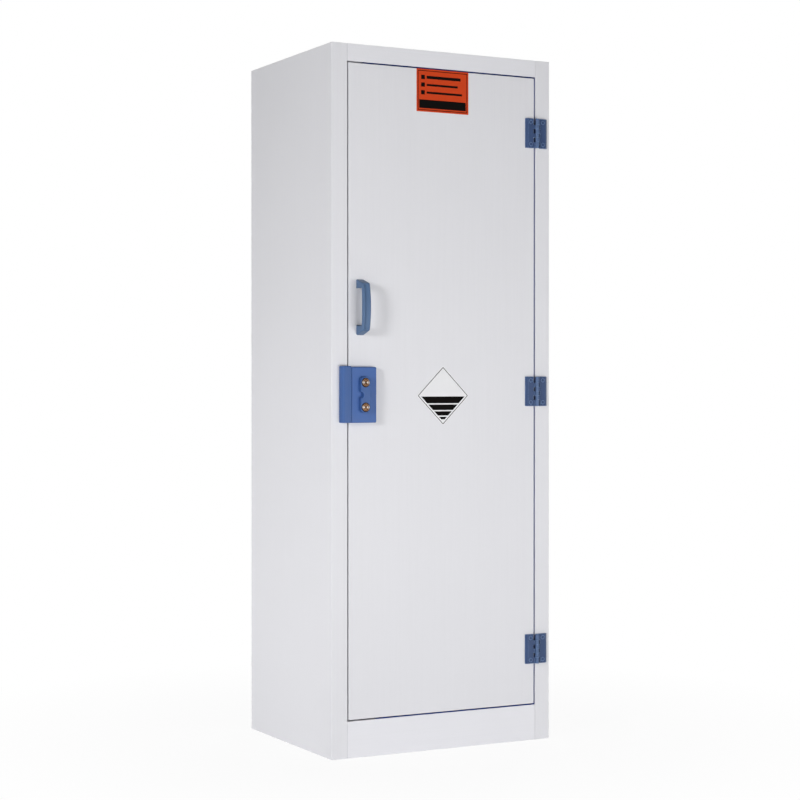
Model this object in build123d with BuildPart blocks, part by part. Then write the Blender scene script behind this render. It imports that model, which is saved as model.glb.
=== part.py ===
from build123d import *
import math
import os

# Slim single-door reagent cabinet of welded polypropylene sheet, in millimetres.
# X runs to the right, Y to the back and Z up. The origin is the centre of the footprint, on the floor.

os.makedirs("parts", exist_ok=True)

# Carcass
cabinet_width = 590.0
cabinet_depth = 460.0
cabinet_height = 1650.0
wall_sheet = 10.0           # sides, back, top and base
outer_edge_radius = 1.5     # eased outer edges of the carcass
bearer_width = 20.0
bearer_height = 20.0
bearer_count = 3
sump_sheet = 8.0

# Front frame round the door
face_sheet = 8.0
stile_width = 40.0
top_rail_height = 40.0
bottom_rail_height = 85.0
seam_chamfer = 0.5          # eased ends of the rails, seen as a fine line against the stiles

# Door, a hollow slab of two skins on a core frame
door_gap = 3.5
door_skin = 8.0
door_core = 14.0
door_edge_radius = 1.0
core_latch_member = 90.0    # solid part of the core behind the handle and the lock
core_hinge_member = 50.0
core_cross_member = 40.0
core_bay_count = 3

# Stop strips behind the edge of the door
stop_sheet = 8.0
stop_width = 24.0
latch_stop_width = 37.0
stop_clearance = 0.5

# Blue sealing strips on the edges of the opening
seal_thickness = 1.2
seal_setback = 3.0          # front edge of a strip behind the front face
seal_start = 77.0           # the top and bottom strips begin this far from the lock side

# Spill trays on ledges
tray_count = 3
tray_height = 50.0
tray_wall = 5.0
tray_corner_radius = 14.0
tray_clearance = 3.0
tray_front_space = 8.0      # between the stop strips and the front of a tray
tray_rim = 7.0              # width of the rolled rim, measured outside the wall
lowest_tray = 430.0         # underside of the lowest tray above the floor
tray_pitch = 385.0
ledge_leg = 34.0
ledge_sheet = 6.0
ledge_end_space = 20.0

# Hinges, worked out about the pin
hinge_height = 71.5
hinge_end_distance = 133.5  # hinge centre from the end of the door
hinge_count = 3
leaf_thickness = 6.0
leaf_reach = 30.4           # outer edge of a leaf from the pin axis
leaf_bevel = 6.0
leaf_edge = 2.0             # thickness left at the outer edge
pin_ahead = 7.5             # pin axis ahead of the front face
pin_outset = 1.2            # pin axis outside the edge of the door opening
knuckle_radius = 5.1
knuckle_notch = 4.4         # space between a knuckle and the other leaf
knuckle_lift = 0.5          # knuckles and their webs stand off the front face
end_knuckle = 15.0
inner_knuckles = 4
knuckle_gap = 0.5
pin_radius = 2.5
running_fit = 0.05
leaf_screw_distance = 17.0  # screw centre from the pin axis
leaf_screw_end = 9.0        # screw centre from the end of the leaf
cap_radius = 4.5
cap_proud = 0.5
cap_thickness = 1.6
leaf_screw_radius = 2.0
leaf_screw_head = 1.4
leaf_screw_length = 12.0
leaf_corner_radius = 1.5

# Pull handle
handle_height = 129.0
handle_width = 20.0
handle_rise = 954.0         # centre above the foot of the door
handle_inset = 20.0         # left side from the edge of the door
handle_reach = 38.0         # greatest stand-off from the door
handle_bow = 6.5            # how far the grip bows out
handle_slant = 10.0         # how far the ends lean in
handle_grip = 9.0           # thickness in the middle of the grip
inner_bow = 1.5             # how far the back of the grip bows out
handle_leg = 20.5
inner_corner_radius = 3.0
handle_corner_radius = 7.0
handle_edge_radius = 2.8
groove_width = 12.0
groove_depth = 2.2

# Lock housing on the door, with two key cylinders
lock_width = 66.5
lock_height = 129.0
lock_rise = 751.4           # centre above the foot of the door
lock_overhang = 1.5         # past the edge of the door
lock_wall = 3.5
lock_corner_radius = 3.0
lock_edge_radius = 2.8
cylinder_inset = 33.0       # cylinder axis from the left side of the housing
cylinder_spacing = 57.0
cylinder_radius = 8.5
flange_radius = 10.9
flange_thickness = 1.6
flange_taper = 50.0         # slope of the flange towards its face, degrees
plug_radius = 6.5
plug_recess = 0.6
keyway_width = 1.8
keyway_height = 8.0
keyway_depth = 7.0
plate_width = 25.5
plate_inset = 11.5          # cylinder axis from the left side of the plate
plate_height = 84.0
plate_raise = 10.0
plate_edge_radius = 1.5
plate_notch_radius = 7.0
plate_corner_radius = 10.0

# Lock works: a crank pin on each plug drives a sliding bolt
back_plate_sheet = 2.0
works_clearance = 0.4
bolt_thickness = 6.8
bolt_height = 20.0
bolt_length = 51.4
bolt_tip_bevel = 1.5
crank_radius = 8.0
crank_pin_radius = 2.0
crank_disc = 2.0
crank_rim = 1.0             # disc left outside the crank pin
crank_slack = 0.5
crank_turn = 90.0           # key turn from open to locked, degrees
guide_length = 16.0
guide_rib = 3.0
boss_radius = 4.0
boss_inset = 8.5

# Keeper on the stile
keeper_width = 21.6
keeper_step = 2.0           # top of the keeper above the top of the housing
keeper_raise = 18.0
keeper_overhang = 1.0       # past the edge of the stile
keeper_nose_radius = 8.0
keeper_edge_radius = 1.5
keeper_slot_depth = 12.5
keeper_slot_clearance = 2.4  # round the bolt, so that a sagging door still locks
keeper_screw_inset = 6.5
keeper_screw_count = 3

# Screws that come through the door or the stile from inside
long_screw_radius = 2.0
long_screw_head_radius = 4.0
long_screw_head = 3.0
counterbore_depth = 4.0
counterbore_clearance = 0.5
screw_grip = 8.0            # thread length in a boss, a leg or the keeper
screw_tip_space = 1.0

# Planes and edges that several pieces share
front_y = -cabinet_depth / 2
back_y = cabinet_depth / 2
side_x = cabinet_width / 2
inner_x = side_x - wall_sheet
inner_back_y = back_y - wall_sheet
face_back_y = front_y + face_sheet
opening_x = side_x - stile_width
opening_top = cabinet_height - top_rail_height
opening_foot = bottom_rail_height
door_thickness = 2 * door_skin + door_core
door_back_y = front_y + door_thickness
stop_front_y = door_back_y + stop_clearance
stop_back_y = stop_front_y + stop_sheet
door_x = opening_x - door_gap
door_top = opening_top - door_gap
door_foot = opening_foot + door_gap
skin_back_y = front_y + door_skin
core_back_y = skin_back_y + door_core


def front_plane(y):
    """Upright plane at y that faces the viewer, with X to the right and Z up."""
    return Plane.XZ.offset(-y)


def save(part, name):
    """Label a finished piece and write it to its own file."""
    part.label = name
    export_step(part, f"parts/{name}.step")


def sheet(x_range, y_range, z_range):
    """A flat rectangular sheet between two corners."""
    with BuildPart() as blank:
        with BuildSketch(Plane.XY.offset(z_range[0])):
            with Locations((sum(x_range) / 2, sum(y_range) / 2)):
                Rectangle(x_range[1] - x_range[0], y_range[1] - y_range[0])
        extrude(amount=z_range[1] - z_range[0])
    return blank.part


# ---- Carcass ----

for side_name, side in (("left", -1), ("right", 1)):
    with BuildPart() as side_panel:
        with BuildSketch(Plane.XY):
            with Locations((side * (side_x - wall_sheet / 2), (face_back_y + back_y) / 2)):
                Rectangle(wall_sheet, back_y - face_back_y)
        extrude(amount=cabinet_height)
        outer_face = side_panel.faces().sort_by(Axis.X)[-1 if side > 0 else 0]
        fillet(outer_face.edges().sort_by(Axis.Y)[-1], outer_edge_radius)
        fillet(side_panel.faces().sort_by(Axis.X)[-1 if side > 0 else 0].edges().sort_by(Axis.Z)[-1],
               outer_edge_radius)
    save(side_panel.part, f"side_panel_{side_name}")

save(sheet((-inner_x, inner_x), (inner_back_y, back_y), (0, cabinet_height)), "back_panel")
save(sheet((-inner_x, inner_x), (face_back_y, inner_back_y), (cabinet_height - wall_sheet, cabinet_height)),
     "top_panel")
save(sheet((-inner_x, inner_x), (face_back_y, inner_back_y), (0, wall_sheet)), "base_panel")

sump_foot = wall_sheet + bearer_height
sump_top = sump_foot + sump_sheet
with BuildPart() as base_bearers:
    with BuildSketch(Plane.XY.offset(wall_sheet)):
        with Locations((0, (face_back_y + inner_back_y) / 2)):
            with GridLocations((2 * inner_x - bearer_width) / (bearer_count - 1), 0, bearer_count, 1):
                Rectangle(bearer_width, inner_back_y - face_back_y)
    extrude(amount=bearer_height)
save(base_bearers.part, "base_bearers")
save(sheet((-inner_x, inner_x), (face_back_y, inner_back_y), (sump_foot, sump_top)), "sump_floor")


# ---- Front frame: angle section, a face with a return along the opening ----

hinge_axis = (opening_x + pin_outset, front_y - pin_ahead)
hinge_centres = [
    door_foot + hinge_end_distance
    + i * (door_top - door_foot - 2 * hinge_end_distance) / (hinge_count - 1)
    for i in range(hinge_count)
]
leaf_screw_heights = [
    centre + end * (hinge_height / 2 - leaf_screw_end) for centre in hinge_centres for end in (-1, 1)
]
lock_middle = door_foot + lock_rise
keeper_right = -opening_x + keeper_overhang
keeper_screw_x = keeper_right - keeper_width + keeper_screw_inset
keeper_height = lock_height + keeper_step
keeper_middle = lock_middle + keeper_step / 2
keeper_screw_span = keeper_height - 2 * (keeper_screw_inset + keeper_edge_radius)
keeper_screw_pitch = keeper_screw_span / (keeper_screw_count - 1)

for side_name, side in (("left", -1), ("right", 1)):
    with BuildPart() as stile:
        with BuildSketch(Plane.XY):
            with Locations((side * (side_x + opening_x) / 2, (front_y + face_back_y) / 2)):
                Rectangle(stile_width, face_sheet)
        extrude(amount=cabinet_height)
        # The return stands on the sump floor and ends under the top panel
        with BuildSketch(Plane.XY.offset(sump_top)):
            with Locations((side * (opening_x + face_sheet / 2), (front_y + stop_back_y) / 2)):
                Rectangle(face_sheet, stop_back_y - front_y)
        extrude(amount=cabinet_height - wall_sheet - sump_top)
        corner = stile.edges().filter_by(Axis.Z).sort_by_distance(
            (side * side_x, front_y, cabinet_height / 2))[0]
        fillet(corner, outer_edge_radius)
        if side < 0:
            with BuildSketch(front_plane(face_back_y)):
                with Locations((keeper_screw_x, keeper_middle)):
                    with GridLocations(0, keeper_screw_pitch, 1, keeper_screw_count):
                        Circle(long_screw_radius + running_fit)
            extrude(amount=face_sheet, mode=Mode.SUBTRACT)
        else:
            with BuildSketch(front_plane(face_back_y)):
                with Locations(*[(hinge_axis[0] + leaf_screw_distance, z) for z in leaf_screw_heights]):
                    Circle(leaf_screw_radius + running_fit)
            extrude(amount=face_sheet, mode=Mode.SUBTRACT)
    save(stile.part, f"face_stile_{side_name}")

for rail_name, face_range, return_range in (
    ("top", (opening_top, cabinet_height), (opening_top, opening_top + face_sheet)),
    ("bottom", (0, opening_foot), (opening_foot - face_sheet, opening_foot)),
):
    with BuildPart() as rail:
        with BuildSketch(Plane.YZ.offset(-opening_x)):
            with Locations(((front_y + face_back_y) / 2, sum(face_range) / 2)):
                Rectangle(face_sheet, face_range[1] - face_range[0])
            with Locations(((front_y + stop_back_y) / 2, sum(return_range) / 2)):
                Rectangle(stop_back_y - front_y, return_range[1] - return_range[0])
        extrude(amount=2 * opening_x)
        chamfer(rail.edges().filter_by(Axis.Z).group_by(Axis.Y)[0], seam_chamfer)
    save(rail.part, f"face_rail_{rail_name}")


# ---- Stop strips: the lock-side strip is wider, and the top and bottom ones fit between the uprights ----

stop_y = (stop_front_y, stop_back_y)
latch_stop_edge = -opening_x + latch_stop_width
hinge_stop_edge = opening_x - stop_width
save(sheet((-opening_x, latch_stop_edge), stop_y, (opening_foot, opening_top)), "door_stop_left")
save(sheet((hinge_stop_edge, opening_x), stop_y, (opening_foot, opening_top)), "door_stop_right")
save(sheet((latch_stop_edge, hinge_stop_edge), stop_y, (opening_top - stop_width, opening_top)),
     "door_stop_top")
save(sheet((latch_stop_edge, hinge_stop_edge), stop_y, (opening_foot, opening_foot + stop_width)),
     "door_stop_bottom")


# ---- Sealing strips that line the opening at the top, the hinge side and the bottom ----

seal_y = (front_y + seal_setback, stop_front_y)
seal_left = -opening_x + seal_start
seal_right = opening_x - seal_thickness
save(sheet((seal_right, opening_x), seal_y, (opening_foot, opening_top)), "seal_strip_right")
save(sheet((seal_left, seal_right), seal_y, (opening_top - seal_thickness, opening_top)),
     "seal_strip_top")
save(sheet((seal_left, seal_right), seal_y, (opening_foot, opening_foot + seal_thickness)),
     "seal_strip_bottom")


# ---- Spill trays and the ledges that carry them ----

tray_names = ["lower", "middle", "upper"]
if tray_count != len(tray_names):
    tray_names = [f"level_{i + 1}" for i in range(tray_count)]
tray_x = inner_x - tray_clearance
tray_front_y = stop_back_y + tray_front_space
tray_back_y = inner_back_y - tray_clearance
tray_middle_y = (tray_front_y + tray_back_y) / 2
tray_depth = tray_back_y - tray_front_y

for i, tray_name in enumerate(tray_names):
    tray_foot = lowest_tray + i * tray_pitch
    with BuildPart() as tray:
        # The pan stands inside its rim, which is rolled outwards round the top
        with BuildSketch(Plane.XY.offset(tray_foot)):
            with Locations((0, tray_middle_y)):
                RectangleRounded(2 * (tray_x - tray_rim), tray_depth - 2 * tray_rim, tray_corner_radius)
        extrude(amount=tray_height)
        with BuildSketch(Plane.XY.offset(tray_foot + tray_height - tray_wall)):
            with Locations((0, tray_middle_y)):
                RectangleRounded(2 * tray_x, tray_depth, tray_corner_radius + tray_rim)
        extrude(amount=tray_wall)
        with BuildSketch(Plane.XY.offset(tray_foot + tray_wall)):
            with Locations((0, tray_middle_y)):
                RectangleRounded(2 * (tray_x - tray_rim - tray_wall),
                                 tray_depth - 2 * (tray_rim + tray_wall),
                                 tray_corner_radius - tray_wall)
        extrude(amount=tray_height - tray_wall, mode=Mode.SUBTRACT)
    save(tray.part, f"spill_tray_{tray_name}")

    for side_name, side in (("left", -1), ("right", 1)):
        with BuildPart() as ledge:
            with BuildSketch(Plane.XZ.offset(-tray_front_y - ledge_end_space)):
                with Locations((side * (inner_x - ledge_leg / 2), tray_foot - ledge_sheet / 2)):
                    Rectangle(ledge_leg, ledge_sheet)
                with Locations((side * (inner_x - ledge_sheet / 2), tray_foot - ledge_leg / 2)):
                    Rectangle(ledge_sheet, ledge_leg)
            extrude(amount=-(tray_depth - 2 * ledge_end_space))
            root = ledge.edges().filter_by(Axis.Y).sort_by_distance(
                (side * (inner_x - ledge_sheet), tray_middle_y, tray_foot - ledge_sheet))[0]
            fillet(root, ledge_sheet / 2)
        save(ledge.part, f"tray_ledge_{side_name}_{tray_name}")


# ---- Hinges: six knuckles, the frame leaf has the top one and the door leaf the bottom one ----

leaf_inner = knuckle_radius + knuckle_notch
leaf_front_y = front_y - leaf_thickness
recess_depth = leaf_screw_head + cap_thickness - cap_proud
inner_knuckle = (hinge_height - 2 * end_knuckle) / inner_knuckles
hinge_levels = ["bottom", "middle", "top"]
if hinge_count != len(hinge_levels):
    hinge_levels = [f"level_{i + 1}" for i in range(hinge_count)]


def knuckle_spans(centre, on_door):
    """Height ranges of one leaf's knuckles, counted from the bottom."""
    foot = centre - hinge_height / 2
    starts = [foot] + [foot + end_knuckle + i * inner_knuckle for i in range(inner_knuckles + 1)]
    ends = starts[1:] + [foot + hinge_height]
    spans = [(low + knuckle_gap / 2, high - knuckle_gap / 2) for low, high in zip(starts, ends)]
    return spans[0::2] if on_door else spans[1::2]


def hinge_leaf(centre, side, on_door):
    """A bevelled leaf with its knuckles; side is the way that it points from the pin."""
    pin_x, pin_y = hinge_axis
    foot = centre - hinge_height / 2
    with BuildPart() as leaf:
        with BuildSketch(Plane.XY.offset(foot)):
            with BuildLine():
                Polyline(
                    (pin_x + side * leaf_inner, front_y),
                    (pin_x + side * leaf_reach, front_y),
                    (pin_x + side * leaf_reach, front_y - leaf_edge),
                    (pin_x + side * (leaf_reach - leaf_bevel), leaf_front_y),
                    (pin_x + side * leaf_inner, leaf_front_y),
                    close=True,
                )
            make_face()
        extrude(amount=hinge_height)
        outer = leaf.faces().sort_by(Axis.X)[-1 if side > 0 else 0]
        fillet(outer.edges().filter_by(Axis.Y), leaf_corner_radius)
        for low, high in knuckle_spans(centre, on_door):
            with BuildSketch(Plane.XY.offset(low)):
                with Locations(hinge_axis):
                    Circle(knuckle_radius)
                with Locations((pin_x + side * leaf_inner / 2, (front_y - knuckle_lift + leaf_front_y) / 2)):
                    Rectangle(leaf_inner, leaf_thickness - knuckle_lift)
                with Locations(hinge_axis):
                    Circle(pin_radius + running_fit, mode=Mode.SUBTRACT)
            extrude(amount=high - low)
        screw_x = pin_x + side * leaf_screw_distance
        screw_spots = [(screw_x, centre + end * (hinge_height / 2 - leaf_screw_end)) for end in (-1, 1)]
        with BuildSketch(front_plane(front_y)):
            with Locations(*screw_spots):
                Circle(leaf_screw_radius + running_fit)
        extrude(amount=leaf_thickness, mode=Mode.SUBTRACT)
        with BuildSketch(front_plane(leaf_front_y + recess_depth)):
            with Locations(*screw_spots):
                Circle(cap_radius + running_fit)
        extrude(amount=recess_depth, mode=Mode.SUBTRACT)
    return leaf.part


for centre, level in zip(hinge_centres, hinge_levels):
    save(hinge_leaf(centre, 1, False), f"hinge_frame_leaf_{level}")
    save(hinge_leaf(centre, -1, True), f"hinge_door_leaf_{level}")
    with BuildPart() as hinge_pin:
        with BuildSketch(Plane.XY.offset(centre - hinge_height / 2)):
            with Locations(hinge_axis):
                Circle(pin_radius)
        extrude(amount=hinge_height)
        chamfer(hinge_pin.edges().filter_by(GeomType.CIRCLE), pin_radius / 5)
    save(hinge_pin.part, f"hinge_pin_{level}")

for body_name, side in (("frame", 1), ("door", -1)):
    spots = [(hinge_axis[0] + side * leaf_screw_distance, z) for z in leaf_screw_heights]
    head_back_y = leaf_front_y + recess_depth
    with BuildPart() as leaf_screws:
        with BuildSketch(front_plane(head_back_y)):
            with Locations(*spots):
                Circle(cap_radius - running_fit)
        extrude(amount=leaf_screw_head)
        with BuildSketch(front_plane(head_back_y)):
            with Locations(*spots):
                Circle(leaf_screw_radius)
        extrude(amount=-(leaf_screw_length - leaf_screw_head))
    save(leaf_screws.part, f"hinge_{body_name}_screws")
    with BuildPart() as leaf_caps:
        with BuildSketch(front_plane(head_back_y - leaf_screw_head)):
            with Locations(*spots):
                Circle(cap_radius)
        extrude(amount=cap_thickness)
    save(leaf_caps.part, f"hinge_{body_name}_screw_caps")


# ---- Door slab ----

lock_left = -door_x - lock_overhang
lock_right = lock_left + lock_width
lock_middle_x = (lock_left + lock_right) / 2
lock_screw_spots = [
    (lock_middle_x + i * (lock_width / 2 - boss_inset), lock_middle + j * (lock_height / 2 - boss_inset))
    for i in (-1, 1) for j in (-1, 1)
]
handle_left = -door_x + handle_inset
handle_middle_x = handle_left + handle_width / 2
handle_middle = door_foot + handle_rise
handle_screw_spots = [
    (handle_middle_x, handle_middle + end * (handle_height - handle_leg - handle_slant / 2) / 2)
    for end in (-1, 1)
]
door_screw_spots = lock_screw_spots + handle_screw_spots
hinge_screw_spots = [(hinge_axis[0] - leaf_screw_distance, z) for z in leaf_screw_heights]
door_middle = (door_top + door_foot) / 2
door_height = door_top - door_foot

with BuildPart() as door_front_skin:
    with BuildSketch(front_plane(skin_back_y)):
        with Locations((0, door_middle)):
            Rectangle(2 * door_x, door_height)
        with Locations(*door_screw_spots):
            Circle(long_screw_radius + running_fit, mode=Mode.SUBTRACT)
        with Locations(*hinge_screw_spots):
            Circle(leaf_screw_radius + running_fit, mode=Mode.SUBTRACT)
    extrude(amount=door_skin)
    rim = door_front_skin.faces().sort_by(Axis.Y)[0].outer_wire().edges()
    fillet(rim, door_edge_radius)
save(door_front_skin.part, "door_front_skin")

with BuildPart() as door_core_frame:
    bay_width = 2 * door_x - core_latch_member - core_hinge_member
    bay_height = (door_height - (core_bay_count + 1) * core_cross_member) / core_bay_count
    with BuildSketch(front_plane(core_back_y)):
        with Locations((0, door_middle)):
            Rectangle(2 * door_x, door_height)
        with Locations(((core_latch_member - core_hinge_member) / 2, door_middle)):
            with GridLocations(0, bay_height + core_cross_member, 1, core_bay_count):
                Rectangle(bay_width, bay_height, mode=Mode.SUBTRACT)
        with Locations(*door_screw_spots):
            Circle(long_screw_radius + running_fit, mode=Mode.SUBTRACT)
    extrude(amount=door_core)
save(door_core_frame.part, "door_core_frame")

with BuildPart() as door_inner_skin:
    with BuildSketch(front_plane(door_back_y)):
        with Locations((0, door_middle)):
            Rectangle(2 * door_x, door_height)
        with Locations(*door_screw_spots):
            Circle(long_screw_radius + running_fit, mode=Mode.SUBTRACT)
    extrude(amount=door_skin)
    rim = door_inner_skin.faces().sort_by(Axis.Y)[-1].outer_wire().edges()
    fillet(rim, door_edge_radius)
    with BuildSketch(front_plane(door_back_y)):
        with Locations(*door_screw_spots):
            Circle(long_screw_head_radius + counterbore_clearance)
    extrude(amount=counterbore_depth, mode=Mode.SUBTRACT)
save(door_inner_skin.part, "door_inner_skin")


# ---- Pull handle: a bowed grip on two slanted legs, dished along its front ----

with BuildPart() as handle:
    corner_reach = handle_reach - handle_bow
    outer_end = handle_height / 2
    outer_corner = outer_end - handle_slant
    inner_end = outer_end - handle_leg
    inner_reach = handle_reach - handle_grip - inner_bow
    with BuildSketch(Plane.YZ.offset(handle_left)):
        with BuildLine():
            Line((front_y, handle_middle + outer_end),
                 (front_y - corner_reach, handle_middle + outer_corner))
            ThreePointArc(
                (front_y - corner_reach, handle_middle + outer_corner),
                (front_y - handle_reach, handle_middle),
                (front_y - corner_reach, handle_middle - outer_corner),
            )
            Line((front_y - corner_reach, handle_middle - outer_corner),
                 (front_y, handle_middle - outer_end))
            Line((front_y, handle_middle - outer_end), (front_y, handle_middle + outer_end))
        make_face()
    extrude(amount=handle_width)
    front_corners = handle.edges().filter_by(Axis.X).group_by(Axis.Y)[0]
    fillet(front_corners, handle_corner_radius)
    rounded = handle.faces().filter_by(Axis.X).edges()
    fillet(rounded.filter_by(lambda edge: edge.center().Y < front_y - 0.1), handle_edge_radius)
    with BuildSketch(Plane.YZ.offset(handle_left)):
        with BuildLine():
            Line((front_y, handle_middle + inner_end), (front_y - inner_reach, handle_middle + inner_end))
            ThreePointArc(
                (front_y - inner_reach, handle_middle + inner_end),
                (front_y - inner_reach - inner_bow, handle_middle),
                (front_y - inner_reach, handle_middle - inner_end),
            )
            Line((front_y - inner_reach, handle_middle - inner_end), (front_y, handle_middle - inner_end))
            Line((front_y, handle_middle - inner_end), (front_y, handle_middle + inner_end))
        gap_face = make_face()
        fillet(gap_face.vertices().group_by(Axis.Y)[0], inner_corner_radius)
    extrude(amount=handle_width, mode=Mode.SUBTRACT)
    # Dish along the grip, a round cutter carried along the bow
    cutter_radius = (groove_width ** 2 / 4 + groove_depth ** 2) / (2 * groove_depth)
    cutter_reach = cutter_radius - groove_depth
    with BuildLine() as groove_path:
        ThreePointArc(
            (handle_middle_x, front_y - corner_reach - cutter_reach, handle_middle + outer_corner),
            (handle_middle_x, front_y - handle_reach - cutter_reach, handle_middle),
            (handle_middle_x, front_y - corner_reach - cutter_reach, handle_middle - outer_corner),
        )
    with BuildSketch(Plane(origin=groove_path.line @ 0, z_dir=groove_path.line % 0)):
        Circle(cutter_radius)
    sweep(path=groove_path.line, mode=Mode.SUBTRACT)
    # Screw holes up the legs from the door
    with BuildSketch(front_plane(front_y)):
        with Locations(*handle_screw_spots):
            Circle(long_screw_radius + running_fit)
    extrude(amount=screw_grip + screw_tip_space, mode=Mode.SUBTRACT)
save(handle.part, "pull_handle")


# ---- Lock works, from the door outwards ----

lock_raise = (back_plate_sheet + works_clearance + bolt_thickness + works_clearance + crank_disc
              + works_clearance + lock_wall)
bolt_back_y = front_y - back_plate_sheet - works_clearance
bolt_front_y = bolt_back_y - bolt_thickness
disc_back_y = bolt_front_y - works_clearance
disc_front_y = disc_back_y - crank_disc
lock_inner_y = disc_front_y - works_clearance
lock_front_y = lock_inner_y - lock_wall
plate_front_y = lock_front_y - plate_raise
cylinder_x = lock_left + cylinder_inset
cylinder_heights = {
    "lower": lock_middle - cylinder_spacing / 2,
    "upper": lock_middle + cylinder_spacing / 2,
}
cylinder_spots = [(cylinder_x, z) for z in cylinder_heights.values()]
half_turn = math.radians(crank_turn / 2)
crank_swing = crank_radius * math.sin(half_turn)     # pin beside the axis at either end of its turn
crank_lift = crank_radius * math.cos(half_turn)      # and above it
bolt_travel = 2 * crank_swing

with BuildPart() as lock_housing:
    with BuildSketch(front_plane(front_y)):
        with Locations((lock_middle_x, lock_middle)):
            RectangleRounded(lock_width, lock_height, lock_corner_radius)
    extrude(amount=lock_raise)
    fillet(lock_housing.faces().sort_by(Axis.Y)[0].edges(), lock_edge_radius)
    with BuildSketch(front_plane(front_y)):
        with Locations((lock_middle_x, lock_middle)):
            Rectangle(lock_width - 2 * lock_wall, lock_height - 2 * lock_wall)
    extrude(amount=lock_raise - lock_wall, mode=Mode.SUBTRACT)
    # Screw bosses and the ribs that guide the bolts stand on the inside of the front wall
    guide_spacing = bolt_height + 2 * works_clearance + guide_rib
    with BuildSketch(front_plane(front_y - back_plate_sheet)):
        with Locations(*lock_screw_spots):
            Circle(boss_radius)
        for _, z in cylinder_spots:
            with Locations((lock_left + lock_wall + guide_length / 2, z)):
                with GridLocations(0, guide_spacing, 1, 2):
                    Rectangle(guide_length, guide_rib)
    extrude(amount=lock_raise - lock_wall - back_plate_sheet)
    with BuildSketch(front_plane(front_y)):
        with Locations(*lock_screw_spots):
            Circle(long_screw_radius + running_fit)
    extrude(amount=back_plate_sheet + screw_grip + screw_tip_space, mode=Mode.SUBTRACT)
    # Bolt slots in the edge and the holes for the cylinders
    with BuildSketch(Plane.YZ.offset(lock_left)):
        with Locations(*[((bolt_back_y + bolt_front_y) / 2, z) for _, z in cylinder_spots]):
            Rectangle(bolt_thickness + 2 * works_clearance, bolt_height + 2 * works_clearance)
    extrude(amount=lock_wall, mode=Mode.SUBTRACT)
    with BuildSketch(front_plane(lock_inner_y)):
        with Locations(*cylinder_spots):
            Circle(cylinder_radius + running_fit)
    extrude(amount=lock_wall, mode=Mode.SUBTRACT)
save(lock_housing.part, "lock_housing")

with BuildPart() as lock_back_plate:
    with BuildSketch(front_plane(front_y)):
        with Locations((lock_middle_x, lock_middle)):
            Rectangle(lock_width - 2 * lock_wall - 2 * running_fit,
                      lock_height - 2 * lock_wall - 2 * running_fit)
        with Locations(*lock_screw_spots):
            Circle(long_screw_radius + running_fit, mode=Mode.SUBTRACT)
    extrude(amount=back_plate_sheet)
save(lock_back_plate.part, "lock_back_plate")

with BuildPart() as lock_face_plate:
    with BuildSketch(front_plane(lock_front_y)):
        with Locations((cylinder_x - plate_inset + plate_width / 2, lock_middle)):
            RectangleRounded(plate_width, plate_height, plate_corner_radius)
        with Locations((cylinder_x - plate_inset, lock_middle)):
            Circle(plate_notch_radius, mode=Mode.SUBTRACT)
    extrude(amount=plate_raise)
    fillet(lock_face_plate.faces().sort_by(Axis.Y)[0].edges(), plate_edge_radius)
    with BuildSketch(front_plane(lock_front_y)):
        with Locations(*cylinder_spots):
            Circle(cylinder_radius + running_fit)
    extrude(amount=plate_raise, mode=Mode.SUBTRACT)
save(lock_face_plate.part, "lock_face_plate")

for level, z in cylinder_heights.items():
    with BuildPart() as cylinder_shell:
        with BuildSketch(front_plane(lock_inner_y)):
            with Locations((cylinder_x, z)):
                Circle(cylinder_radius)
        extrude(amount=lock_wall + plate_raise)
        with BuildSketch(front_plane(plate_front_y)):
            with Locations((cylinder_x, z)):
                Circle(flange_radius)
        extrude(amount=flange_thickness, taper=flange_taper)
        with BuildSketch(front_plane(lock_inner_y)):
            with Locations((cylinder_x, z)):
                Circle(plug_radius + running_fit)
        extrude(amount=lock_wall + plate_raise + flange_thickness, mode=Mode.SUBTRACT)
    save(cylinder_shell.part, f"lock_cylinder_{level}")

    # Key plug with its tail disc and crank pin, drawn in the open position
    plug_length = disc_front_y - (plate_front_y - flange_thickness + plug_recess)
    with BuildPart() as lock_plug:
        with BuildSketch(front_plane(disc_front_y)):
            with Locations((cylinder_x, z)):
                Circle(plug_radius)
        extrude(amount=plug_length)
        with BuildSketch(front_plane(disc_front_y - plug_length + keyway_depth)):
            with Locations((cylinder_x, z)):
                SlotOverall(keyway_height, keyway_width, rotation=90)
        extrude(amount=keyway_depth, mode=Mode.SUBTRACT)
        with BuildSketch(front_plane(disc_back_y)):
            with Locations((cylinder_x, z)):
                Circle(crank_radius + crank_pin_radius + crank_rim)
        extrude(amount=crank_disc)
        with BuildSketch(front_plane(bolt_back_y)):
            with Locations((cylinder_x + crank_swing, z + crank_lift)):
                Circle(crank_pin_radius)
        extrude(amount=bolt_thickness + works_clearance)
    save(lock_plug.part, f"lock_plug_{level}")

    # Bolt with an open notch for the crank pin
    bolt_tip_x = lock_left + works_clearance
    notch_foot = crank_lift - crank_pin_radius - crank_slack
    with BuildPart() as lock_bolt:
        with BuildSketch(front_plane(bolt_back_y)):
            with Locations((bolt_tip_x + bolt_length / 2, z)):
                Rectangle(bolt_length, bolt_height)
            with Locations((cylinder_x + crank_swing, z + (notch_foot + bolt_height / 2) / 2)):
                Rectangle(2 * (crank_pin_radius + crank_slack), bolt_height / 2 - notch_foot,
                          mode=Mode.SUBTRACT)
        extrude(amount=bolt_thickness)
        tip = lock_bolt.faces().sort_by(Axis.X)[0]
        chamfer(tip.edges().filter_by(Axis.Z), bolt_tip_bevel)
    save(lock_bolt.part, f"lock_bolt_{level}")


# ---- Keeper on the stile, with a slot for each bolt ----

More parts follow.
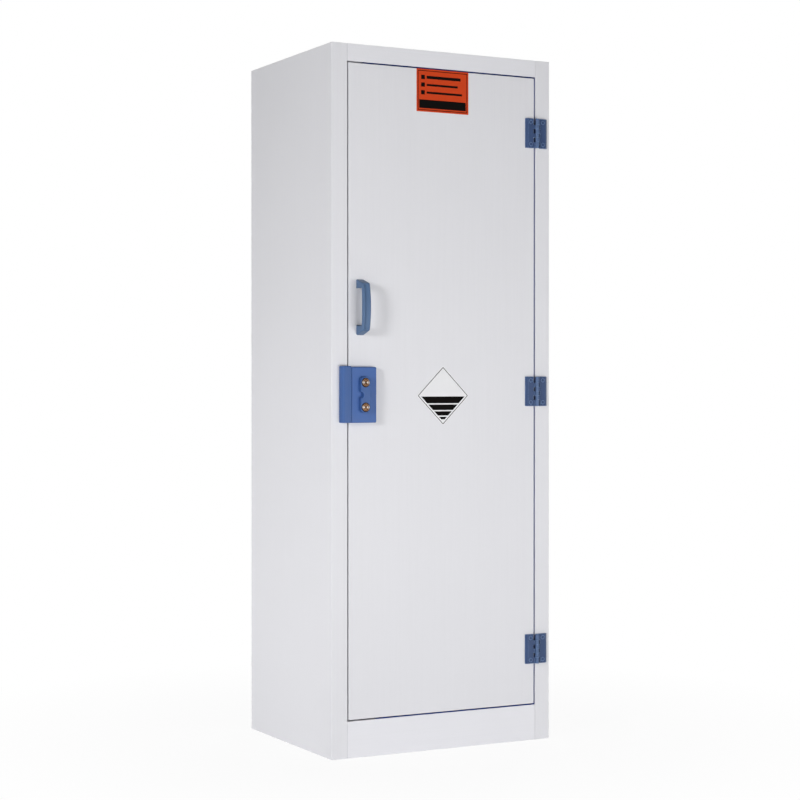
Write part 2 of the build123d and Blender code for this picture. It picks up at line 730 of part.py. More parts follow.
with BuildPart() as lock_keeper:
    keeper_left = keeper_right - keeper_width
    keeper_foot = keeper_middle - keeper_height / 2
    with BuildSketch(Plane.XY.offset(keeper_foot)):
        with Locations(((keeper_left + keeper_right) / 2, front_y - keeper_raise / 2)):
            Rectangle(keeper_width, keeper_raise)
    extrude(amount=keeper_height)
    nose = lock_keeper.edges().filter_by(Axis.Z).sort_by_distance(
        (keeper_left, front_y - keeper_raise, keeper_middle))[0]
    fillet(nose, keeper_nose_radius)
    ends = lock_keeper.faces().filter_by(Axis.Z).edges()
    fillet(ends.filter_by(lambda edge: edge.center().Y < front_y - 0.1
                          and edge.center().X < keeper_right - 0.1), keeper_edge_radius)
    # The pockets for the bolts are open at the back, where the stile closes them
    pocket_front_y = bolt_front_y - keeper_slot_clearance
    with BuildSketch(Plane.YZ.offset(keeper_right)):
        with Locations(*[((front_y + pocket_front_y) / 2, z) for _, z in cylinder_spots]):
            Rectangle(front_y - pocket_front_y, bolt_height + 2 * keeper_slot_clearance)
    extrude(amount=-keeper_slot_depth, mode=Mode.SUBTRACT)
    with BuildSketch(front_plane(front_y)):
        with Locations((keeper_screw_x, keeper_middle)):
            with GridLocations(0, keeper_screw_pitch, 1, keeper_screw_count):
                Circle(long_screw_radius + running_fit)
    extrude(amount=screw_grip + screw_tip_space, mode=Mode.SUBTRACT)
save(lock_keeper.part, "lock_keeper")


# ---- Screws from inside ----

def inside_screws(spots, head_seat_y, tip_y):
    """Round-headed screws that point forwards, with their heads behind the seat."""
    with BuildPart() as screws:
        with BuildSketch(front_plane(head_seat_y)):
            with Locations(*spots):
                Circle(long_screw_radius)
        extrude(amount=head_seat_y - tip_y)
        with BuildSketch(front_plane(head_seat_y)):
            with Locations(*spots):
                Circle(long_screw_head_radius)
        extrude(amount=-long_screw_head)
    return screws.part


door_screw_seat = door_back_y - counterbore_depth
save(inside_screws(handle_screw_spots, door_screw_seat, front_y - screw_grip), "handle_screws")
save(inside_screws(lock_screw_spots, door_screw_seat, front_y - back_plate_sheet - screw_grip),
     "lock_housing_screws")
keeper_screw_spots = [
    (keeper_screw_x, keeper_middle + (i - (keeper_screw_count - 1) / 2) * keeper_screw_pitch)
    for i in range(keeper_screw_count)
]
save(inside_screws(keeper_screw_spots, face_back_y, front_y - screw_grip), "keeper_screws")

print("bolt travel", round(bolt_travel, 3), "mm for", crank_turn, "degrees of key")
print("hinge axis", hinge_axis, "cylinder x", cylinder_x, "heights", cylinder_heights)
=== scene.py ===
import math

import bpy
import numpy as np
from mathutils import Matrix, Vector


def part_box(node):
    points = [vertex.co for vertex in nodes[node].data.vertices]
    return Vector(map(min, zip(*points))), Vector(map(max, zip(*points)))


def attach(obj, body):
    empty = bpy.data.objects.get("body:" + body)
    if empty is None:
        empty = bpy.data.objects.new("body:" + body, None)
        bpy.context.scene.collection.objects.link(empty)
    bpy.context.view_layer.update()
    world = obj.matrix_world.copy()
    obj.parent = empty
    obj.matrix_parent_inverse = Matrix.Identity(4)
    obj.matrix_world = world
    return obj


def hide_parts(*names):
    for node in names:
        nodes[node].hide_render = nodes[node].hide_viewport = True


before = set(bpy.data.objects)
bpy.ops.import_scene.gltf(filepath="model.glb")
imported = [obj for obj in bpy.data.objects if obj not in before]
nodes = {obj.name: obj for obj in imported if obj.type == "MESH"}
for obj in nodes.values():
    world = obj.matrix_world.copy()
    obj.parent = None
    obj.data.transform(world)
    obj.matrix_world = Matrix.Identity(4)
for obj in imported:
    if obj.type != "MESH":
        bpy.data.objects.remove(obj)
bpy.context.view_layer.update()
mm = 0.001
print("stage: frame loaded,", len(nodes), "nodes")


# small helpers

def hexToLinear(code):
    # sRGB hex code to linear colour with alpha 1
    parts = [int(code[i:i + 2], 16) / 255 for i in (1, 3, 5)]
    return tuple(p / 12.92 if p <= 0.04045 else ((p + 0.055) / 1.055) ** 2.4 for p in parts) + (1.0,)


def addNode(tree, kind, values=None, **settings):
    # values fill the inputs by name or number: a socket, or a node's first working output, is linked,
    # and anything else is set
    node = tree.nodes.new(kind)
    for name, value in settings.items():
        setattr(node, name, value)
    for key, value in (values or {}).items():
        if isinstance(value, bpy.types.Node):
            value = next(output for output in value.outputs if output.enabled)
        if isinstance(value, bpy.types.NodeSocket):
            tree.links.new(value, node.inputs[key])
        else:
            node.inputs[key].default_value = value
    return node


def newMaterial(name):
    # an empty material, its node tree, and the Object coordinates in metres that its patterns read
    material = bpy.data.materials.new(name)
    material.use_nodes = True
    tree = material.node_tree
    tree.nodes.clear()
    return material, tree, addNode(tree, "ShaderNodeTexCoord").outputs["Object"]


def dress(nodeName, material):
    # a carried-over CAD node keeps its mesh and gets the better material
    mesh = nodes[nodeName].data
    mesh.materials.clear()
    mesh.materials.append(material)


def newObject(name, shape, material, smooth=False):
    points, faces = shape
    mesh = bpy.data.meshes.new(name)
    mesh.from_pydata(np.asarray(points, float).tolist(), [], [list(map(int, face)) for face in faces])
    mesh.materials.append(material)
    mesh.polygons.foreach_set("use_smooth", np.full(len(mesh.polygons), smooth))
    mesh.update()
    made = bpy.data.objects.new(name, mesh)
    bpy.context.scene.collection.objects.link(made)
    return made


def makePiece(name, shape, material, body, smooth=False):
    piece = newObject(name, shape, material, smooth)
    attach(piece, body)
    return piece


def joinShapes(shapes):
    # several (points, faces) pairs as one mesh
    points, faces, start = [], [], 0
    for shapePoints, shapeFaces in shapes:
        points.append(shapePoints)
        faces += [[start + int(i) for i in face] for face in shapeFaces]
        start += len(shapePoints)
    return np.vstack(points), faces


def gridFaces(rows, columns):
    # quads of an open grid whose point (i, j) has the number i * columns + j
    corner = np.arange(rows - 1)[:, None] * columns + np.arange(columns - 1)[None, :]
    return np.stack([corner, corner + 1, corner + columns + 1, corner + columns], -1).reshape(-1, 4)


# materials

noiseMiddle = {"From Min": 0.3, "From Max": 0.7}    # the values that a noise texture mostly takes

sheetLook = {
    "colour": "#dfdfe3", "cloudColour": "#dcdce0",
    "cloudSpan": 350 * mm, "cloudDetail": 3.0,
    "streakSpan": 4 * mm,              # extrusion streaks, drawn coarser than the real ones to show
    "streakStretch": (1, 1, 0.02),     # they run up and down
    "streakShade": (0.992, 1.006), "roughness": (0.42, 0.52),
    "peelSpan": 2.2 * mm, "peelDetail": 1.0, "peelHeight": 0.02 * mm, "peelStrength": 0.35,
    "ior": 1.49, "specular": 0.3,
    "edgeWidth": 0.8 * mm,             # machined edges catch the light as a fine line
}
railLook = dict(
    sheetLook, colour="#e4e4e9", cloudColour="#e2e2e6", streakStretch=(0.02, 1, 1),
    # painted shade down the butt seams of the rails
    seamPlace=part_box("face_rail_top")[1].x, seamWidth=0.9 * mm, seamShadeColour="#8c8c94", seamShadeShare=0.75)
trayLook = dict(sheetLook, colour="#d9d9dd", cloudColour="#d6d6da")


def sheetPolypropylene(name, look):
    # extruded polypropylene sheet: nearly white and waxy, with faint clouds, streaks along the extrusion
    # and the fine orange peel of the calender
    material, tree, place = newMaterial(name)
    along = addNode(tree, "ShaderNodeMapping", {"Vector": place, "Scale": look["streakStretch"]})
    streaks = addNode(tree, "ShaderNodeTexNoise", {"Vector": along, "Scale": 1 / look["streakSpan"]})
    clouds = addNode(tree, "ShaderNodeTexNoise", {
        "Vector": place, "Scale": 1 / look["cloudSpan"], "Detail": look["cloudDetail"]})
    colour = addNode(tree, "ShaderNodeMix", {
        0: clouds, 6: hexToLinear(look["colour"]), 7: hexToLinear(look["cloudColour"])}, data_type="RGBA")
    darkest, palest = look["streakShade"]
    shade = addNode(tree, "ShaderNodeMapRange", {
        "Value": streaks, **noiseMiddle, "To Min": darkest, "To Max": palest})
    colour = addNode(tree, "ShaderNodeVectorMath", {0: colour, "Scale": shade}, operation="SCALE")
    if "seamPlace" in look:
        # painted shade: the butt seam where a rail meets the stiles is drawn as a darker line
        across = addNode(tree, "ShaderNodeSeparateXYZ", {0: place}).outputs["X"]
        aside = addNode(tree, "ShaderNodeMath", {0: across}, operation="ABSOLUTE")
        seamShade = addNode(tree, "ShaderNodeMapRange", {
            "Value": aside, "From Min": look["seamPlace"] - look["seamWidth"], "From Max": look["seamPlace"],
            "To Max": look["seamShadeShare"]})
        colour = addNode(tree, "ShaderNodeMix", {
            0: seamShade, 6: colour, 7: hexToLinear(look["seamShadeColour"])}, data_type="RGBA")
    smoothest, roughest = look["roughness"]
    roughness = addNode(tree, "ShaderNodeMapRange", {
        "Value": streaks, **noiseMiddle, "To Min": smoothest, "To Max": roughest})
    peel = addNode(tree, "ShaderNodeTexNoise", {
        "Vector": place, "Scale": 1 / look["peelSpan"], "Detail": look["peelDetail"]})
    rounded = addNode(tree, "ShaderNodeBevel", {"Radius": look["edgeWidth"]}, samples=4)
    peeled = addNode(tree, "ShaderNodeBump", {
        "Height": peel, "Strength": look["peelStrength"], "Distance": look["peelHeight"], "Normal": rounded})
    surface = addNode(tree, "ShaderNodeBsdfPrincipled", {
        "Base Color": colour, "Roughness": roughness, "IOR": look["ior"],
        "Specular IOR Level": look["specular"], "Normal": peeled})
    addNode(tree, "ShaderNodeOutputMaterial", {"Surface": surface})
    return material


lockBlueLook = {
    # pale edges: partly wear, partly painted highlight along the rounded edges
    "colour": "#3a5d9a", "flowColour": "#3e619f", "edgeWearAndHighlightColour": "#6485c0",
    "edgeWearAndHighlight": 0.45, "edgeWidth": 1.2 * mm,
    "edgeTurn": (0.86, 0.99),          # how far the rounded normal leans, as a cosine, from pale edge to plain
    "flowSpan": 50 * mm, "flowDetail": 4.0, "flowDistortion": 1.5,
    "sparkSpan": 1.2 * mm, "sparkHeight": 0.03 * mm, "sparkStrength": 0.5,
    "roughness": (0.36, 0.46), "ior": 1.49, "specular": 0.25,
}
keeperBlueLook = dict(lockBlueLook, colour="#36578e", flowColour="#395a93")
hingeBlueLook = dict(
    lockBlueLook, colour="#30446a", flowColour="#364b71", edgeWearAndHighlightColour="#8fafdd",
    # wide pale edges: painted highlight on the leaf bevels and knuckles
    edgeWearAndHighlight=0.75, edgeWidth=2.0 * mm,
    knuckleHighlightShare=0.17,                  # painted highlight: the proud knuckles are painted paler than the leaves
    knuckleHighlightFrom=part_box("hinge_frame_leaf_top")[0].y + 4.5 * mm, knuckleHighlightFade=2 * mm)
handleBlueLook = dict(
    lockBlueLook, colour="#506888", flowColour="#546d8f", edgeWearAndHighlightColour="#859fc4",
    edgeWidth=1.5 * mm, specular=0.15)
sealBlueLook = dict(
    lockBlueLook, colour="#0e3590", flowColour="#113a97", edgeWearAndHighlightColour="#2450a8", specular=0.1)
# painted shade: the top lip is a darker copy of the seal strip's blue, for the shade in the gap over the
# door
shadedLipBlueLook = dict(sealBlueLook, colour="#071d5e", flowColour="#0a2166", edgeWearAndHighlightColour="#123080")


def mouldedPolypropylene(name, look):
    # injection-moulded polypropylene: satin, with a fine spark texture, flow clouds and pale edges, partly
    # wear and partly painted highlight
    material, tree, place = newMaterial(name)
    flow = addNode(tree, "ShaderNodeTexNoise", {
        "Vector": place, "Scale": 1 / look["flowSpan"], "Detail": look["flowDetail"],
        "Distortion": look["flowDistortion"]})
    tint = addNode(tree, "ShaderNodeMix", {
        0: flow, 6: hexToLinear(look["colour"]), 7: hexToLinear(look["flowColour"])}, data_type="RGBA")
    geometry = addNode(tree, "ShaderNodeNewGeometry")
    rounded = addNode(tree, "ShaderNodeBevel", {"Radius": look["edgeWidth"]}, samples=6)
    turned = addNode(tree, "ShaderNodeVectorMath", {0: rounded, 1: geometry.outputs["Normal"]},
                     operation="DOT_PRODUCT")
    worn, plain = look["edgeTurn"]
    # pale edges, partly wear and partly painted highlight, where the rounded normal leans away
    wearAndHighlight = addNode(tree, "ShaderNodeMapRange", {
        "Value": turned, "From Min": plain, "From Max": worn, "To Max": look["edgeWearAndHighlight"]})
    if "knuckleHighlightFrom" in look:
        # painted highlight on the parts standing proud of the leaves: the hinge knuckles
        depth = addNode(tree, "ShaderNodeSeparateXYZ", {0: place}).outputs["Y"]
        proudHighlight = addNode(tree, "ShaderNodeMapRange", {
            "Value": depth, "From Min": look["knuckleHighlightFrom"] - look["knuckleHighlightFade"],
            "From Max": look["knuckleHighlightFrom"], "To Min": look["knuckleHighlightShare"], "To Max": 0.0})
        wearAndHighlight = addNode(tree, "ShaderNodeMath", {0: wearAndHighlight, 1: proudHighlight}, operation="MAXIMUM")
    wornAndHighlighted = addNode(tree, "ShaderNodeMix", {
        0: wearAndHighlight, 6: tint, 7: hexToLinear(look["edgeWearAndHighlightColour"])}, data_type="RGBA")
    smoothest, roughest = look["roughness"]
    roughness = addNode(tree, "ShaderNodeMapRange", {
        "Value": flow, **noiseMiddle, "To Min": smoothest, "To Max": roughest})
    spark = addNode(tree, "ShaderNodeTexNoise", {"Vector": place, "Scale": 1 / look["sparkSpan"]})
    sparked = addNode(tree, "ShaderNodeBump", {
        "Height": spark, "Strength": look["sparkStrength"], "Distance": look["sparkHeight"],
        "Normal": rounded})
    surface = addNode(tree, "ShaderNodeBsdfPrincipled", {
        "Base Color": wornAndHighlighted, "Roughness": roughness, "IOR": look["ior"],
        "Specular IOR Level": look["specular"], "Normal": sparked})
    addNode(tree, "ShaderNodeOutputMaterial", {"Surface": surface})
    return material


cylinderBoxes = [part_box(f"lock_cylinder_{level}") for level in ("lower", "upper")]
brassLook = {
    "centres": [((low.x + high.x) / 2, (low.z + high.z) / 2) for low, high in cylinderBoxes],
    "face": cylinderBoxes[0][0].y,
    # one dark colour for tarnish, grime specks and painted shade
    "colour": "#604734", "tarnishAndShadeColour": "#1c120c",
    "ringSpacing": 0.6 * mm, "ringHeight": 0.02 * mm, "ringStrength": 0.4,    # turning marks, drawn coarse
    "grimeSpan": 1.2 * mm, "grimeDetail": 4.0, "grimeShare": (-0.1, 0.25),
    # painted highlight of the turned rings
    "glintColour": "#a8a3a0", "glintLean": (0.7, 1.0), "glintShare": 0.75,
    "rimRadii": (8.6 * mm, 9.2 * mm),
    "seamRadius": 6.55 * mm, "seamWidth": 0.8 * mm,
    "keywayReach": 3.2 * mm, "keywayEdge": 0.2 * mm, "keywayDepths": (0.2 * mm, 0.9 * mm),
    "roughness": (0.25, 0.42),
}


def turnedBrass(name, look):
    # turned brass: fine rings about each cylinder's axis, dark on the rim from tarnish and painted shade,
    # painted shade in the seam between plug and shell and down the keyway, and a painted highlight beside
    # the axis
    material, tree, place = newMaterial(name)
    distances = []
    for x, z in look["centres"]:
        moved = addNode(tree, "ShaderNodeVectorMath", {0: place, 1: (x, 0, z)}, operation="SUBTRACT")
        flat = addNode(tree, "ShaderNodeVectorMath", {0: moved, 1: (1, 0, 1)}, operation="MULTIPLY")
        distances.append(addNode(tree, "ShaderNodeVectorMath", {0: flat}, operation="LENGTH"))
    radius = addNode(tree, "ShaderNodeMath", dict(enumerate(distances)), operation="MINIMUM")
    turns = addNode(tree, "ShaderNodeMath", {0: radius, 1: 2 * math.pi / look["ringSpacing"]},
                    operation="MULTIPLY")
    rings = addNode(tree, "ShaderNodeMath", {0: turns}, operation="SINE")
    grime = addNode(tree, "ShaderNodeTexNoise", {
        "Vector": place, "Scale": 1 / look["grimeSpan"], "Detail": look["grimeDetail"]})

    # dark rim: tarnish and painted shade; the plug seam: painted shade
    rimStart, rimEnd = look["rimRadii"]
    rim = addNode(tree, "ShaderNodeMapRange", {"Value": radius, "From Min": rimStart, "From Max": rimEnd})
    fromSeam = addNode(tree, "ShaderNodeMath", {0: radius, 1: look["seamRadius"]}, operation="SUBTRACT")
    offSeam = addNode(tree, "ShaderNodeMath", {0: fromSeam}, operation="ABSOLUTE")
    seamShade = addNode(tree, "ShaderNodeMapRange", {
        "Value": offSeam, "From Min": look["seamWidth"] / 2, "From Max": look["seamWidth"],
        "To Min": 1.0, "To Max": 0.0})
    # painted shade down the keyway, below the plug's face
    depth = addNode(tree, "ShaderNodeSeparateXYZ", {0: place}).outputs["Y"]
    mouth, bottom = look["keywayDepths"]
    deep = addNode(tree, "ShaderNodeMapRange", {
        "Value": depth, "From Min": look["face"] + mouth, "From Max": look["face"] + bottom})
    nearAxis = addNode(tree, "ShaderNodeMapRange", {
        "Value": radius, "From Min": look["keywayReach"],
        "From Max": look["keywayReach"] + look["keywayEdge"], "To Min": 1.0, "To Max": 0.0})
    keywayShade = addNode(tree, "ShaderNodeMath", {0: deep, 1: nearAxis}, operation="MULTIPLY")
    tarnishAndShade = addNode(tree, "ShaderNodeMath", {0: rim, 1: seamShade}, operation="MAXIMUM")
    tarnishAndShade = addNode(tree, "ShaderNodeMath", {0: tarnishAndShade, 1: keywayShade}, operation="MAXIMUM")
    cleanest, dirtiest = look["grimeShare"]
    specks = addNode(tree, "ShaderNodeMapRange", {
        "Value": grime, **noiseMiddle, "To Min": cleanest, "To Max": dirtiest})
    tarnishAndShade = addNode(tree, "ShaderNodeMath", {0: tarnishAndShade, 1: specks}, operation="ADD", use_clamp=True)

    # painted highlight: the turned rings shine in two pale wedges, left and right of the axis: both
    # cylinders share one x
    across = addNode(tree, "ShaderNodeSeparateXYZ", {0: flat}).outputs["X"]
    lean = addNode(tree, "ShaderNodeMath", {0: across, 1: radius}, operation="DIVIDE")
    leanSquared = addNode(tree, "ShaderNodeMath", {0: lean, 1: lean}, operation="MULTIPLY")
    glintStart, glintFull = look["glintLean"]
    glint = addNode(tree, "ShaderNodeMapRange", {
        "Value": leanSquared, "From Min": glintStart, "From Max": glintFull, "To Max": look["glintShare"]})
    metal = addNode(tree, "ShaderNodeMix", {
        0: glint, 6: hexToLinear(look["colour"]), 7: hexToLinear(look["glintColour"])}, data_type="RGBA")
    colour = addNode(tree, "ShaderNodeMix", {
        0: tarnishAndShade, 6: metal, 7: hexToLinear(look["tarnishAndShadeColour"])}, data_type="RGBA")
    smoothest, roughest = look["roughness"]
    roughness = addNode(tree, "ShaderNodeMapRange", {
        "Value": grime, **noiseMiddle, "To Min": smoothest, "To Max": roughest})
    ridged = addNode(tree, "ShaderNodeBump", {
        "Height": rings, "Strength": look["ringStrength"], "Distance": look["ringHeight"]})
    surface = addNode(tree, "ShaderNodeBsdfPrincipled", {
        "Base Color": colour, "Metallic": 1.0, "Roughness": roughness, "Normal": ridged})
    addNode(tree, "ShaderNodeOutputMaterial", {"Surface": surface})
    return material


screwLook = {
    "colour": "#9c9da2", "roughness": (0.25, 0.4),
    "scratchSpan": 0.4 * mm, "scratchDetail": 3.0, "scratchHeight": 0.01 * mm, "scratchStrength": 0.2,
}


def screwSteel(name, look):
    # pan-head stainless screw: satin steel with fine turning scratches
    material, tree, place = newMaterial(name)
    scratches = addNode(tree, "ShaderNodeTexNoise", {
        "Vector": place, "Scale": 1 / look["scratchSpan"], "Detail": look["scratchDetail"]})
    smoothest, roughest = look["roughness"]
    roughness = addNode(tree, "ShaderNodeMapRange", {
        "Value": scratches, **noiseMiddle, "To Min": smoothest, "To Max": roughest})
    scratched = addNode(tree, "ShaderNodeBump", {
        "Height": scratches, "Strength": look["scratchStrength"], "Distance": look["scratchHeight"]})
    surface = addNode(tree, "ShaderNodeBsdfPrincipled", {
        "Base Color": hexToLinear(look["colour"]), "Metallic": 1.0, "Roughness": roughness,
        "Normal": scratched})
    addNode(tree, "ShaderNodeOutputMaterial", {"Surface": surface})
    return material


orangeVinylLook = {
    "colour": "#c83c06", "fleckColour": "#c23a06", "fleckSpan": 6 * mm, "fleckDetail": 5.0,
    "rippleSpan": 22 * mm, "rippleDetail": 1.0, "rippleHeight": 0.2 * mm, "rippleStrength": 0.25,
    "roughness": 0.45, "ior": 1.5, "specular": 0.25,
}
whiteVinylLook = dict(orangeVinylLook, colour="#e6e6e8", fleckColour="#e3e3e5")
blackInkLook = dict(orangeVinylLook, colour="#050403", fleckColour="#070504", roughness=0.6, specular=0.04)


def vinylPrint(name, look):
    # printed vinyl film: even colour and the faint ripple of film pressed on by hand
    material, tree, place = newMaterial(name)
    fleck = addNode(tree, "ShaderNodeTexNoise", {
        "Vector": place, "Scale": 1 / look["fleckSpan"], "Detail": look["fleckDetail"]})
    colour = addNode(tree, "ShaderNodeMix", {
        0: fleck, 6: hexToLinear(look["colour"]), 7: hexToLinear(look["fleckColour"])}, data_type="RGBA")
    ripple = addNode(tree, "ShaderNodeTexNoise", {
        "Vector": place, "Scale": 1 / look["rippleSpan"], "Detail": look["rippleDetail"]})
    rippled = addNode(tree, "ShaderNodeBump", {
        "Height": ripple, "Strength": look["rippleStrength"], "Distance": look["rippleHeight"]})
    surface = addNode(tree, "ShaderNodeBsdfPrincipled", {
        "Base Color": colour, "Roughness": look["roughness"], "IOR": look["ior"],
        "Specular IOR Level": look["specular"], "Normal": rippled})
    addNode(tree, "ShaderNodeOutputMaterial", {"Surface": surface})
    return material


whiteSheet = sheetPolypropylene("whitePolypropyleneSheet", sheetLook)
whiteRail = sheetPolypropylene("whitePolypropyleneRail", railLook)
whiteTray = sheetPolypropylene("whitePolypropyleneTray", trayLook)
lockBlue = mouldedPolypropylene("bluePolypropyleneLock", lockBlueLook)
keeperBlue = mouldedPolypropylene("bluePolypropyleneKeeper", keeperBlueLook)
hingeBlue = mouldedPolypropylene("bluePolypropyleneHinge", hingeBlueLook)
handleBlue = mouldedPolypropylene("bluePolypropyleneHandle", handleBlueLook)
sealBlue = mouldedPolypropylene("blueSealStrip", sealBlueLook)
shadedLipBlue = mouldedPolypropylene("blueSealLipShaded", shadedLipBlueLook)
brass = turnedBrass("turnedBrass", brassLook)
screwMetal = screwSteel("stainlessScrew", screwLook)
orangeVinyl = vinylPrint("orangeVinyl", orangeVinylLook)
whiteVinyl = vinylPrint("whiteVinyl", whiteVinylLook)
blackInk = vinylPrint("blackInk", blackInkLook)

for name in nodes:
    if name.endswith("_screws"):
        dress(name, screwMetal)
    elif name.startswith("hinge_"):
        dress(name, hingeBlue)
    elif name.startswith(("lock_cylinder", "lock_plug")):
        dress(name, brass)
    elif name in ("lock_keeper", "lock_face_plate"):
        dress(name, keeperBlue)
    elif name.startswith("lock_"):
        dress(name, lockBlue)
    elif name == "pull_handle":
        dress(name, handleBlue)
    elif name.startswith("seal_strip"):
        dress(name, sealBlue)
    elif name.startswith("spill_tray"):
        dress(name, whiteTray)
    elif name.startswith("face_rail"):
        dress(name, whiteRail)
    else:
        dress(name, whiteSheet)
print("stage: materials on the frame")


# stickers on the door: film, and a print a little ahead of it

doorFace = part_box("door_front_skin")[0].y
filmThickness, inkThickness = 0.2 * mm, 0.06 * mm
filmLevels = (doorFace, doorFace - filmThickness)
inkLevels = (doorFace - filmThickness, doorFace - filmThickness - inkThickness)


def plateShape(outline, backY, frontY):
    # a closed outline of (x, z) points, anticlockwise from the front, as a plate between two y levels
    outline = np.asarray(outline, float)
    count = len(outline)
    points = np.vstack([np.column_stack([outline[:, 0], np.full(count, y), outline[:, 1]])
                        for y in (backY, frontY)])
    i = np.arange(count)
    following = (i + 1) % count
    walls = np.column_stack([i, following, count + following, count + i])
    return points, [count + i, i[::-1], *walls]


def ringShape(outer, inner, backY, frontY):
    # the band between two outlines with the same number of points, as a plate between two y levels
    count = len(outer)
    loops = [(outer, backY), (outer, frontY), (inner, frontY), (inner, backY)]
    points = np.vstack([np.column_stack([loop[:, 0], np.full(count, y), loop[:, 1]]) for loop, y in loops])
    i, loop = np.meshgrid(np.arange(count), np.arange(len(loops)))
    following, nextLoop = (i + 1) % count, (loop + 1) % len(loops)
    faces = np.stack([loop * count + i, loop * count + following, nextLoop * count + following,
                      nextLoop * count + i], -1)
    return points, faces.reshape(-1, 4)


def roundedOutline(centre, width, height, radius, turn=0.0, steps=6):
    # rounded rectangle: four quarter circles joined by straight sides, turned about its centre
    quarter = np.linspace(0, math.pi / 2, steps)
    angles = np.concatenate([quarter + k * math.pi / 2 for k in range(4)])
    signX = np.repeat([1, -1, -1, 1], steps)
    signZ = np.repeat([1, 1, -1, -1], steps)
    outline = np.column_stack([signX * (width / 2 - radius) + radius * np.cos(angles),
                               signZ * (height / 2 - radius) + radius * np.sin(angles)])
    cosine, sine = math.cos(turn), math.sin(turn)
    return outline @ np.array([[cosine, sine], [-sine, cosine]]) + np.asarray(centre)


def makeSticker(name, film, filmMaterial, prints):
    makePiece(f"{name}Film", plateShape(film, *filmLevels), filmMaterial, "door")
    makePiece(f"{name}Print", joinShapes(prints), blackInk, "door")


orangeTag = {
    "centre": (-3.0 * mm, 1556.3 * mm), "width": 140.5 * mm, "height": 100.5 * mm, "corner": 1.0 * mm,
    "frameInset": 3.5 * mm, "frameWidth": 1.6 * mm,
    # rows of a square and a rule: rise from the centre, height and length of the rule
    "rows": ((31 * mm, 7 * mm, 92 * mm), (13 * mm, 5 * mm, 84 * mm), (-5 * mm, 5 * mm, 96 * mm)),
    "rowLeft": -58 * mm, "rowSquare": 10 * mm, "printCorner": 0.8 * mm,
    "footerRise": -32 * mm, "footerHeight": 20 * mm, "footerMargin": 2 * mm,
}


def orangeTagPrints(tag):
    # a thin frame, three rows of a square and a rule, and a broad bar at the foot
    tagX, tagZ = tag["centre"]
    insets = (tag["frameInset"], tag["frameInset"] + tag["frameWidth"])
    lines = [roundedOutline(tag["centre"], tag["width"] - 2 * inset, tag["height"] - 2 * inset,
                            tag["corner"])
             for inset in insets]
    square = tag["rowSquare"]
    squareX = tagX + tag["rowLeft"] + square / 2
    blocks = []
    for rise, ruleHeight, ruleLength in tag["rows"]:
        blocks.append(((squareX, tagZ + rise), square, square))
        blocks.append(((squareX + square + ruleLength / 2, tagZ + rise), ruleLength, ruleHeight))
    footerWidth = tag["width"] - 2 * (insets[1] + tag["footerMargin"])
    blocks.append(((tagX, tagZ + tag["footerRise"]), footerWidth, tag["footerHeight"]))
    return [ringShape(*lines, *inkLevels)] + [
        plateShape(roundedOutline(*block, tag["printCorner"]), *inkLevels) for block in blocks]


makeSticker(
    "orangeTag",
    roundedOutline(orangeTag["centre"], orangeTag["width"], orangeTag["height"], orangeTag["corner"]),
    orangeVinyl, orangeTagPrints(orangeTag))

paperTag = {
    "centre": (-1.9 * mm, 837.5 * mm), "side": 100 * mm, "corner": 2.5 * mm,
    "edge": 2.0 * mm, "border": 1.5 * mm,
    "borderCorners": (1.75 * mm, 1.25 * mm),
    # bars across the lower half: rise of the top and of the foot
    "bars": ((-2 * mm, -18 * mm), (-21 * mm, -34 * mm), (-37 * mm, -47 * mm), (-50 * mm, -56 * mm)),
    "barMargin": 5 * mm,      # between a bar's ends and the border
}


def diamondOutline(tag, side, radius):
    # a rounded square that stands on its corner
    return roundedOutline(tag["centre"], side, side, radius, math.pi / 4)


def paperTagPrints(tag):
    # a border, and bars whose slanted ends run along it
    tagX, tagZ = tag["centre"]
    outerSide = tag["side"] - 2 * tag["edge"]
    innerSide = outerSide - 2 * tag["border"]
    lines = [diamondOutline(tag, side, radius)
             for side, radius in zip((outerSide, innerSide), tag["borderCorners"])]
    prints = [ringShape(*lines, *inkLevels)]
    reach = innerSide / math.sqrt(2) - tag["barMargin"]
    for top, foot in tag["bars"]:
        half, footHalf = reach + top, reach + foot
        corners = [(tagX - half, tagZ + top), (tagX - footHalf, tagZ + foot),
                   (tagX + footHalf, tagZ + foot), (tagX + half, tagZ + top)]
        prints.append(plateShape(corners, *inkLevels))
    return prints


makeSticker("paperTag", diamondOutline(paperTag, paperTag["side"], paperTag["corner"]), whiteVinyl,
            paperTagPrints(paperTag))
print("stage: stickers")


# sealing strip along the top of the opening, with a full rounded lip

lipLook = {
    "reachLeft": 34 * mm,     # further towards the lock side than the frame's own strip
    "fullness": 1.3 * mm,     # the soft strip swells into the gap over the door
    "forward": 1.2 * mm,
    "lipSteps": 9, "stations": 60,
    "wave": 0.08 * mm, "wavePitch": 120 * mm,
}


